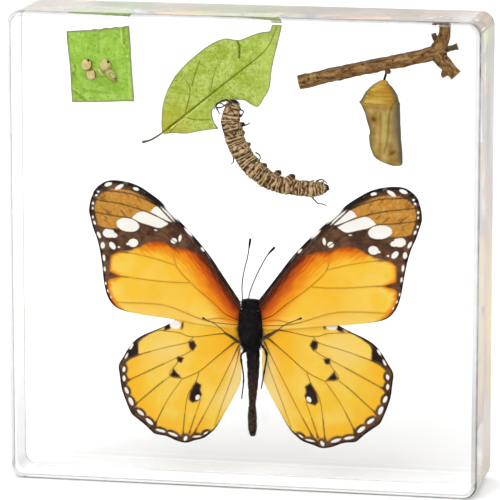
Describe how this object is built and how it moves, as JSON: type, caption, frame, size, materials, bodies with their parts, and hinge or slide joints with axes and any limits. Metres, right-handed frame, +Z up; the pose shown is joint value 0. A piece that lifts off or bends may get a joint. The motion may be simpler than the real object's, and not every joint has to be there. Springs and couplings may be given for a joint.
{
  "type": "insect in resin block",
  "caption": "Flat square block of clear cast resin with rounded edges, stood on its edge, holding a butterfly's life cycle sealed inside as a display.",
  "frame": {"origin": "centre of the block's bottom face, on the surface it stands on", "axes": "+Z up, -Y out of the large front face, +X to the right seen from the front"},
  "size_m": [0.075, 0.015, 0.075],
  "materials": {
    "resin": "clear polished casting resin"
  },
  "bodies": {
    "root": {"resin_block": "resin"}
  },
  "joints": []
}
